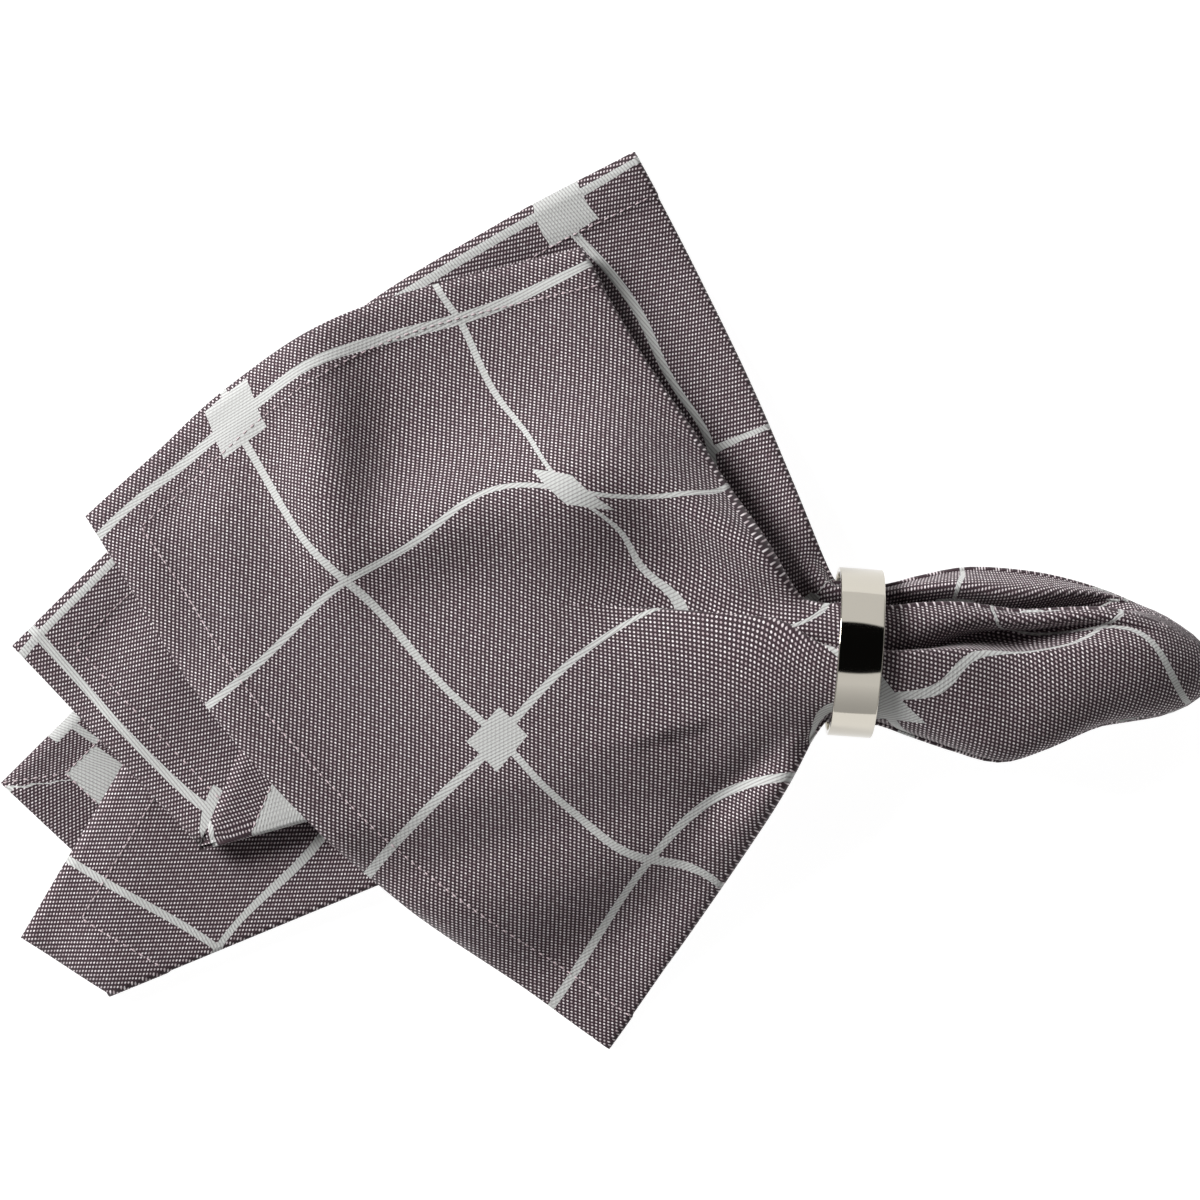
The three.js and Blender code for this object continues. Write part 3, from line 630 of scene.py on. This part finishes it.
cloth_mesh = bmesh.new()
bmesh.ops.create_grid(cloth_mesh, x_segments=line_count, y_segments=step_count - 1, size=1)
check_uv = cloth_mesh.loops.layers.uv.new("check")
weave_uv = cloth_mesh.loops.layers.uv.new("weave")
turned_uv = cloth_mesh.loops.layers.uv.new("turned_check")
hem_uv = cloth_mesh.loops.layers.uv.new("hem")
hem_layer = cloth_mesh.verts.layers.deform.verify()
grid_of = {}
for vertex in cloth_mesh.verts:
    line, step = (vertex.co.x + 1) / 2 * line_count, (vertex.co.y + 1) / 2 * (step_count - 1)
    grid_of[vertex] = (round(line) % line_count, round(step))
for quad in cloth_mesh.faces:
    quad.smooth = True
    for corner in quad.loops:
        line, step = grid_of[corner.vert]
        corner[check_uv].uv = check[line, step] * MM
        corner[weave_uv].uv = weave[line, step] * MM
        corner[turned_uv].uv = turned_check[line, step] * MM
        corner[hem_uv].uv = (station[line] * MM, hem_distance[line, step] * MM)
for vertex, (line, step) in grid_of.items():
    vertex.co = Vector(face[line, step]) * MM
    if step > first_hem_step:
        vertex[hem_layer][0] = 1.0
bmesh.ops.remove_doubles(cloth_mesh, verts=cloth_mesh.verts, dist=1e-7)
bmesh.ops.reverse_faces(cloth_mesh, faces=cloth_mesh.faces)
cloth_data = bpy.data.meshes.new("napkin_cloth_sheet")
cloth_mesh.to_mesh(cloth_data)
cloth_mesh.free()
cloth = bpy.data.objects.new("napkin_cloth_sheet", cloth_data)
bpy.context.scene.collection.objects.link(cloth)
cloth.vertex_groups.new(name="hem")
thickness = cloth.modifiers.new("thickness", "SOLIDIFY")
thickness.thickness = HEM_THICKNESS * MM
thickness.offset = -1
thickness.vertex_group = "hem"
thickness.thickness_vertex_group = CLOTH_THICKNESS / HEM_THICKNESS
thickness.material_offset = 1
thickness.material_offset_rim = 0


def colour(hex_value):
    """An sRGB hex value as linear red, green, blue and alpha."""
    channels = [int(hex_value[place:place + 2], 16) / 255 for place in (1, 3, 5)]
    return [c / 12.92 if c <= 0.04045 else ((c + 0.055) / 1.055) ** 2.4 for c in channels] + [1]


def add_node(material, kind, inputs=None, **settings):
    """Adds a node with its settings and links, and gives its outputs."""
    made = material.node_tree.nodes.new(kind)
    for name, value in settings.items():
        setattr(made, name, value)
    for socket, value in (inputs or {}).items():
        if isinstance(value, bpy.types.NodeSocket):
            material.node_tree.links.new(value, made.inputs[socket])
        else:
            made.inputs[socket].default_value = value
    return made.outputs


# Cotton satin: dark plum warp with small floats of white weft on the face, the reverse on the back,
# and the white weft on top in the lines and squares of the check. It is matt, with a faint sheen.
PLUM_YARN = "#36272d"
WHITE_YARN = "#f2eaec"
GREY_YARN = "#b5a5a9"
LINE_WHITE = "#bfc0be"
LINE_SHADE = "#969493"
CHECK_STEP_U = 59.75
CHECK_STEP_V = 57.5
CHECK_START_U = 7
CHECK_START_V = 44.5
LINE_HALF_WIDTH_U = 1.1
LINE_HALF_WIDTH_V = 0.7
SQUARE_HALF_SIDE = 6.3
EDGE_THREAD_U = 0.5
EDGE_THREAD_V = 0.6
# The real weave repeats every 1.24 by 0.46 mm, too fine to show, so it is drawn a fifth coarser.
WEAVE_PITCH = 1.5
WEAVE_ROW = 0.555
WEAVE_SHIFT = 0.4
STREAK_PITCH = 0.8
STREAK_SLANT = 0.27
FLOAT_EDGE = 0.3
FLOAT_TOP = 1.5
SLUB_LENGTH = 1.2
SLUB_THIN = 0.35
SLUB_THICK = 0.65
YARN_RELIEF = 0.12


def woven_cotton(name, is_back):
    """The cloth's material: dark with white dots on the face, and the reverse on the back."""
    material = bpy.data.materials.new(name)
    material.use_nodes = True
    material.node_tree.nodes.clear()
    weave = add_node(material, "ShaderNodeUVMap", uv_map="weave")["UV"]
    check = add_node(material, "ShaderNodeUVMap", uv_map="check")["UV"]
    if is_back:
        hem = add_node(material, "ShaderNodeUVMap", uv_map="hem")["UV"]
        hem = add_node(material, "ShaderNodeSeparateXYZ", {0: hem})
        past_hem = add_node(
            material, "ShaderNodeMath", {0: hem["Y"], 1: HEM_WIDTH * MM}, operation="GREATER_THAN"
        )[0]
        turned = add_node(material, "ShaderNodeUVMap", uv_map="turned_check")["UV"]
        check = add_node(
            material, "ShaderNodeMix", {"Factor": past_hem, 4: turned, 5: check}, data_type="VECTOR"
        )[1]

    # Two sets of waves cross at the floats, and a third gives the streaks of the white satin.
    turn_per_mm = 2 * math.pi / MM
    waves = [
        (turn_per_mm / WEAVE_PITCH, turn_per_mm * WEAVE_SHIFT / WEAVE_ROW, 0),
        (turn_per_mm / WEAVE_PITCH, turn_per_mm * (WEAVE_SHIFT - 1) / WEAVE_ROW, 0),
        (turn_per_mm / STREAK_PITCH, -turn_per_mm * STREAK_SLANT / STREAK_PITCH, 0),
    ]
    heights = []
    for wave in waves:
        phase = add_node(
            material, "ShaderNodeVectorMath", {0: weave, 1: wave}, operation="DOT_PRODUCT"
        )["Value"]
        heights.append(add_node(material, "ShaderNodeMath", {0: phase}, operation="COSINE")[0])
    crossing = add_node(
        material, "ShaderNodeMath", {0: heights[0], 1: heights[1]}, operation="ADD"
    )[0]
    dot = add_node(
        material, "ShaderNodeMapRange",
        {"Value": crossing, "From Min": FLOAT_EDGE, "From Max": FLOAT_TOP},
        interpolation_type="SMOOTHSTEP",
    )[0]
    streak = add_node(
        material, "ShaderNodeMapRange", {"Value": heights[2], "From Min": 0, "From Max": 1}
    )[0]
    slub = add_node(
        material, "ShaderNodeTexNoise",
        {"Vector": weave, "Scale": 1 / (SLUB_LENGTH * MM), "Detail": 1.0},
    )[0]
    slub = add_node(
        material, "ShaderNodeMapRange",
        {"Value": slub, "From Min": SLUB_THIN, "From Max": SLUB_THICK},
    )[0]

    # The check: lines and, at every other crossing, a square, with edges stepped thread by thread.
    threads = add_node(
        material, "ShaderNodeVectorMath",
        {0: check, 1: (EDGE_THREAD_U * MM, EDGE_THREAD_V * MM, MM)}, operation="SNAP",
    )["Vector"]
    from_start = add_node(
        material, "ShaderNodeVectorMath",
        {0: threads, 1: (CHECK_START_U * MM, CHECK_START_V * MM, 0)}, operation="SUBTRACT",
    )["Vector"]
    along = add_node(material, "ShaderNodeSeparateXYZ", {0: from_start})
    from_u = add_node(
        material, "ShaderNodeMath", {0: along["X"], 1: CHECK_STEP_U / 2 * MM}, operation="PINGPONG"
    )[0]
    from_v = add_node(
        material, "ShaderNodeMath", {0: along["Y"], 1: CHECK_STEP_V / 2 * MM}, operation="PINGPONG"
    )[0]
    farthest = add_node(material, "ShaderNodeMath", {0: from_u, 1: from_v}, operation="MAXIMUM")[0]
    on_u_line = add_node(
        material, "ShaderNodeMath", {0: from_u, 1: LINE_HALF_WIDTH_U * MM}, operation="LESS_THAN"
    )[0]
    on_v_line = add_node(
        material, "ShaderNodeMath", {0: from_v, 1: LINE_HALF_WIDTH_V * MM}, operation="LESS_THAN"
    )[0]
    on_line = add_node(
        material, "ShaderNodeMath", {0: on_u_line, 1: on_v_line}, operation="MAXIMUM"
    )[0]
    at_crossing = add_node(
        material, "ShaderNodeMath", {0: farthest, 1: SQUARE_HALF_SIDE * MM}, operation="LESS_THAN"
    )[0]
    counted = add_node(
        material, "ShaderNodeVectorMath",
        {
            0: from_start, 1: (1 / (CHECK_STEP_U * MM), 1 / (CHECK_STEP_V * MM), 0),
            2: (0.5, 0.5, 1.5),
        },
        operation="MULTIPLY_ADD",
    )["Vector"]
    every_other = add_node(
        material, "ShaderNodeTexChecker", {"Vector": counted, "Scale": 1.0}
    )["Fac"]
    in_square = add_node(
        material, "ShaderNodeMath", {0: at_crossing, 1: every_other}, operation="MULTIPLY"
    )[0]
    weft_on_top = add_node(
        material, "ShaderNodeMath", {0: on_line, 1: in_square}, operation="MAXIMUM"
    )[0]
    if is_back:
        reversed_there = add_node(
            material, "ShaderNodeMath", {0: past_hem, 1: weft_on_top}, operation="SUBTRACT"
        )[0]
        weft_on_top = add_node(
            material, "ShaderNodeMath", {0: reversed_there}, operation="ABSOLUTE"
        )[0]

    white = add_node(
        material, "ShaderNodeMix", {"Factor": slub, 6: colour(GREY_YARN), 7: colour(WHITE_YARN)},
        data_type="RGBA",
    )[2]
    ground = add_node(
        material, "ShaderNodeMix", {"Factor": dot, 6: colour(PLUM_YARN), 7: white}, data_type="RGBA"
    )[2]
    satin = add_node(
        material, "ShaderNodeMix", {"Factor": streak, 6: colour(LINE_WHITE), 7: colour(LINE_SHADE)},
        data_type="RGBA",
    )[2]
    cloth_colour = add_node(
        material, "ShaderNodeMix", {"Factor": weft_on_top, 6: ground, 7: satin}, data_type="RGBA"
    )[2]
    bump = add_node(
        material, "ShaderNodeBump", {"Height": dot, "Distance": YARN_RELIEF * MM, "Strength": 0.6}
    )[0]
    shader = add_node(
        material, "ShaderNodeBsdfPrincipled",
        {
            "Base Color": cloth_colour, "Roughness": 0.85, "Specular IOR Level": 0.3,
            "Sheen Weight": 0.12, "Sheen Roughness": 0.5, "Normal": bump,
        },
    )[0]
    add_node(material, "ShaderNodeOutputMaterial", {"Surface": shader})
    return material


cloth_data.materials.append(woven_cotton("woven_cotton_satin_face", False))
cloth_data.materials.append(woven_cotton("woven_cotton_satin_back", True))
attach(cloth, "root")
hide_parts("napkin_cloth")

# Hem stitching
# A row of short straight machine stitches along all four hems, at their inner edge, on both sides,
# and down the mitre of each corner on the back. Each is pale thread, half sunk in the cloth.
STITCH_PITCH = 2.5
STITCH_LENGTH = 1.5
STITCH_WIDTH = 0.42
THREAD = "#c4b2b6"
one_stitch = bmesh.new()
bmesh.ops.create_uvsphere(one_stitch, u_segments=6, v_segments=4, radius=MM)
for stitch_face in one_stitch.faces:
    stitch_face.smooth = True
stitch_form = bpy.data.meshes.new("stitch_form")
one_stitch.to_mesh(stitch_form)
one_stitch.free()
stitch_mesh = bmesh.new()
stitch_step = first_hem_step + 1
stitch_size = np.array([STITCH_LENGTH / 2, STITCH_WIDTH / 2, STITCH_WIDTH / 2])
back_depth = -CLOTH_THICKNESS - HEM_SWELL


def sew(spot, along, up):
    """Adds one stitch at a spot, laid along the hem on the side that faces up."""
    axes = np.stack((along, np.cross(up, along), up), axis=1) * stitch_size
    placed = Matrix(axes.tolist()).to_4x4()
    placed.translation = (spot * MM).tolist()
    stitch = stitch_form.copy()
    stitch.transform(placed)
    stitch_mesh.from_mesh(stitch)
    bpy.data.meshes.remove(stitch)


for number in range(round(ROUND_TRIP / STITCH_PITCH)):
    place = (number + 0.5) * STITCH_PITCH
    line = np.searchsorted(station, place) - 1
    after = (line + 1) % line_count
    through = (place - station[line]) / ((station[after] - station[line]) % ROUND_TRIP)
    spot = mix(face[line, stitch_step], face[after, stitch_step], through)
    up = unit(mix(normals[line, stitch_step], normals[after, stitch_step], through))
    along = unit(face[after, stitch_step] - face[line, stitch_step])
    for depth in (0, back_depth):
        sew(spot + up * depth, along, up)
# On the back the hems meet at each corner in a mitre, sewn from the inner corner to the outer one.
for line in np.flatnonzero(station % NAPKIN_SIDE == 0):
    seam = face[line, stitch_step:]
    seam_length = np.linalg.norm(seam[-1] - seam[0])
    up = unit(normals[line, stitch_step])
    for number in range(1, round(seam_length / STITCH_PITCH)):
        spot = mix(seam[0], seam[-1], number * STITCH_PITCH / seam_length)
        sew(spot + up * back_depth, unit(seam[-1] - seam[0]), up)
bpy.data.meshes.remove(stitch_form)
stitch_data = bpy.data.meshes.new("hem_stitching")
stitch_mesh.to_mesh(stitch_data)
stitch_mesh.free()
stitches = bpy.data.objects.new("hem_stitching", stitch_data)
bpy.context.scene.collection.objects.link(stitches)
thread = bpy.data.materials.new("pale_sewing_thread")
thread.use_nodes = True
thread_shader = thread.node_tree.nodes["Principled BSDF"]
thread_shader.inputs["Base Color"].default_value = colour(THREAD)
thread_shader.inputs["Roughness"].default_value = 0.7
stitch_data.materials.append(thread)
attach(stitches, "root")

# Napkin ring
# A plain band rolled from nickel-plated steel strip, polished, with its edges slightly rounded.
# It holds the gathered cloth by friction alone.
RING_WALL = 1.2
RING_WIDTH = 10.7
RING_EDGE_ROUND = 0.3
RING_EDGE_STEPS = 4
RING_SEGMENTS = 160
ring_mesh = bmesh.new()
inner_radius = RING_OUTER_RADIUS - RING_WALL
corners = [
    ring_mesh.verts.new((along * MM, 0, radius * MM))
    for along, radius in [
        (-RING_WIDTH / 2, inner_radius), (-RING_WIDTH / 2, RING_OUTER_RADIUS),
        (RING_WIDTH / 2, RING_OUTER_RADIUS), (RING_WIDTH / 2, inner_radius),
    ]
]
ring_mesh.faces.new(corners)
bmesh.ops.bevel(
    ring_mesh, geom=list(ring_mesh.verts), offset=RING_EDGE_ROUND * MM, segments=RING_EDGE_STEPS,
    profile=0.5, affect="VERTICES", material=-1,
)
bmesh.ops.delete(ring_mesh, geom=list(ring_mesh.faces), context="FACES_ONLY")
bmesh.ops.spin(
    ring_mesh, geom=list(ring_mesh.verts) + list(ring_mesh.edges), cent=(0, 0, 0), axis=(1, 0, 0),
    angle=2 * math.pi, steps=RING_SEGMENTS, use_merge=True,
)
bmesh.ops.remove_doubles(ring_mesh, verts=ring_mesh.verts, dist=1e-6)
bmesh.ops.recalc_face_normals(ring_mesh, faces=ring_mesh.faces)
ring_place = Matrix.Translation(Vector((RING_X, RING_Y, RING_OUTER_RADIUS)) * MM)
ring_place = ring_place @ Matrix.Rotation(RING_YAW, 4, "Z")
bmesh.ops.transform(ring_mesh, matrix=ring_place, verts=ring_mesh.verts)
for band_face in ring_mesh.faces:
    band_face.smooth = True
ring_data = bpy.data.meshes.new("napkin_ring_band")
ring_mesh.to_mesh(ring_data)
ring_mesh.free()
ring = bpy.data.objects.new("napkin_ring_band", ring_data)
bpy.context.scene.collection.objects.link(ring)

# Polished nickel plate: a warm grey mirror, the same all over.
NICKEL = "#c3beb3"
polish = bpy.data.materials.new("polished_nickel_plate")
polish.use_nodes = True
polish.node_tree.nodes.clear()
polish_shader = add_node(
    polish, "ShaderNodeBsdfPrincipled",
    {"Base Color": colour(NICKEL), "Metallic": 1.0, "Roughness": 0.07},
)[0]
add_node(polish, "ShaderNodeOutputMaterial", {"Surface": polish_shader})
ring_data.materials.append(polish)
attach(ring, "root")
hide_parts("napkin_ring")

# Table top
# A plain pale surface under the napkin, wide enough to fill every view. It glows, so that it shows
# as clean white round the napkin.
TABLE_HALF_SIDE = 3.0
TABLE_PAINT = "#8c8c8c"
TABLE_GLOW = 0.94
table_mesh = bmesh.new()
bmesh.ops.create_grid(table_mesh, x_segments=2, y_segments=2, size=TABLE_HALF_SIDE)
table_data = bpy.data.meshes.new("table_top")
table_mesh.to_mesh(table_data)
table_mesh.free()
table = bpy.data.objects.new("table_top", table_data)
bpy.context.scene.collection.objects.link(table)
table_paint = bpy.data.materials.new("matt_white_paint")
table_paint.use_nodes = True
table_shader = table_paint.node_tree.nodes["Principled BSDF"]
table_shader.inputs["Base Color"].default_value = colour(TABLE_PAINT)
table_shader.inputs["Roughness"].default_value = 0.9
table_shader.inputs["Emission Color"].default_value = (1, 1, 1, 1)
table_shader.inputs["Emission Strength"].default_value = TABLE_GLOW
table_data.materials.append(table_paint)

# Studio light
# A room lighter on its left and dark straight overhead, with a bright band from front to back, as
# the ring reflects it, that dims low at the front. One far, soft lamp at the upper left shades the
# folds. Widths and places in the room are parts of a unit direction.
DARK_CAP_TILT = math.radians(7)
DARK_CAP_HALF_ANGLE = math.radians(35)
LEFT_STRENGTH = 0.32
RIGHT_STRENGTH = 0.12
BAND_STRENGTH = 0.94
BAND_END_STRENGTH = 0.55
BAND_DIMS_FROM = -0.68
BAND_MIDDLE = 0.06
BAND_HALF_WIDTH = 0.24
BAND_EDGE = 0.06
CAP_STRENGTH = 0.004
CAP_HALF_EDGE = 0.01
LAMP_PLACE = (-0.95, 0.55, 0.62)
LAMP_ANGLE = math.radians(28)
LAMP_ENERGY = 5.1
world = bpy.data.worlds.new("studio")
bpy.context.scene.world = world
world.use_nodes = True
world.node_tree.nodes.clear()
direction = add_node(world, "ShaderNodeTexCoord")["Generated"]
heading = add_node(world, "ShaderNodeSeparateXYZ", {0: direction})
walls = add_node(
    world, "ShaderNodeMapRange",
    {"Value": heading["X"], "From Min": -1.0, "To Min": LEFT_STRENGTH, "To Max": RIGHT_STRENGTH},
)[0]
band = add_node(
    world, "ShaderNodeMapRange",
    {
        "Value": heading["Y"], "From Min": -1.0, "From Max": BAND_DIMS_FROM,
        "To Min": BAND_END_STRENGTH, "To Max": BAND_STRENGTH,
    },
)[0]
sideways = add_node(
    world, "ShaderNodeMath", {0: heading["X"], 1: BAND_MIDDLE}, operation="SUBTRACT"
)[0]
sideways = add_node(world, "ShaderNodeMath", {0: sideways}, operation="ABSOLUTE")[0]
past_band = add_node(
    world, "ShaderNodeMapRange",
    {"Value": sideways, "From Min": BAND_HALF_WIDTH, "From Max": BAND_HALF_WIDTH + BAND_EDGE},
)[0]
room = add_node(world, "ShaderNodeMix", {"Factor": past_band, "A": band, "B": walls})[0]
overhead = add_node(
    world, "ShaderNodeVectorMath",
    {0: direction, 1: (0, math.sin(DARK_CAP_TILT), math.cos(DARK_CAP_TILT))},
    operation="DOT_PRODUCT",
)["Value"]
cap_rim = math.cos(DARK_CAP_HALF_ANGLE)
in_cap = add_node(
    world, "ShaderNodeMapRange",
    {"Value": overhead, "From Min": cap_rim - CAP_HALF_EDGE, "From Max": cap_rim + CAP_HALF_EDGE},
)[0]
strength = add_node(world, "ShaderNodeMix", {"Factor": in_cap, "A": room, "B": CAP_STRENGTH})[0]
sky = add_node(world, "ShaderNodeBackground", {"Color": (1, 1, 1, 1), "Strength": strength})[0]
add_node(world, "ShaderNodeOutputWorld", {"Surface": sky})
lamp_data = bpy.data.lights.new("soft_lamp", "SUN")
lamp_data.angle = LAMP_ANGLE
lamp_data.energy = LAMP_ENERGY
lamp = bpy.data.objects.new("soft_lamp", lamp_data)
lamp.location = LAMP_PLACE
lamp.rotation_euler = (-lamp.location).to_track_quat("-Z", "Y").to_euler()
bpy.context.scene.collection.objects.link(lamp)
bpy.context.scene.view_settings.view_transform = "Standard"

# Camera
# Straight above the middle of the napkin, at the height that the check was laid out for,
# with 300 mm of table across the picture.
CAMERA_HEIGHT = SIGHT_HEIGHT * MM
PICTURE_WIDTH = 0.3
SENSOR_WIDTH = 36
camera_data = bpy.data.cameras.new("camera")
camera_data.sensor_width = SENSOR_WIDTH
camera_data.lens = SENSOR_WIDTH * CAMERA_HEIGHT / PICTURE_WIDTH
camera = bpy.data.objects.new("camera", camera_data)
camera.location = (0, 0, CAMERA_HEIGHT)
bpy.context.scene.collection.objects.link(camera)
bpy.context.scene.camera = camera
